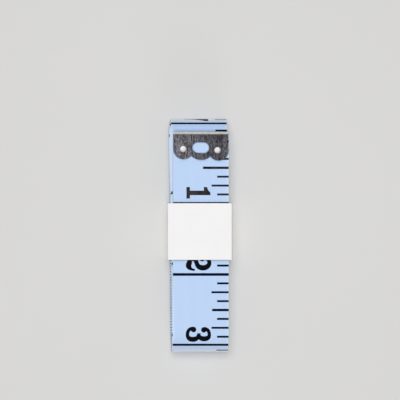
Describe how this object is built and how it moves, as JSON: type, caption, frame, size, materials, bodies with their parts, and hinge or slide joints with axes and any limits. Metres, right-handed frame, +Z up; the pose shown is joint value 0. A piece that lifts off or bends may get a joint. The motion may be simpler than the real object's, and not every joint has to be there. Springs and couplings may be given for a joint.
{
  "type": "cloth tape measure",
  "caption": "Coated cloth sewing tape with a riveted metal clip on each end, wound flat and held by a plain paper band.",
  "frame": {"origin": "on the surface the part lies on, under the middle of the winding", "axes": "+Y along the winding towards the zero end of the tape, +Z up through the layers with the inch side on top, +X to the right"},
  "size_m": [0.023, 0.0838, 0.0155],
  "materials": {
    "coated_cloth": "satin coated weave",
    "printed_ink": "flat navy black print",
    "nickel_sheet": "dark drawn nickel",
    "rivet_metal": "bright domed",
    "band_paper": "matt uncoated",
    "paper_glue": "dried glue"
  },
  "bodies": {
    "winding": {"tape_winding": "coated_cloth", "far_end_clip": "nickel_sheet", "far_end_rivet_left": "rivet_metal", "far_end_rivet_right": "rivet_metal"},
    "band": {"paper_band": "band_paper", "band_glue": "paper_glue"},
    "free_end": {"tape_free_end": "coated_cloth", "zero_end_clip": "nickel_sheet", "zero_end_rivet_left": "rivet_metal", "zero_end_rivet_right": "rivet_metal"}
  },
  "joints": [
    {"name": "band_slide", "type": "slide", "parent": "winding", "child": "band", "axis": [0, -1, 0], "range_m": [0, 0.056]},
    {"name": "free_end_lift", "type": "hinge", "parent": "winding", "child": "free_end", "pos_m": [0.00036, 0.01252, 0.01426], "axis": [1, 0, 0], "range_deg": [0, 75]}
  ]
}
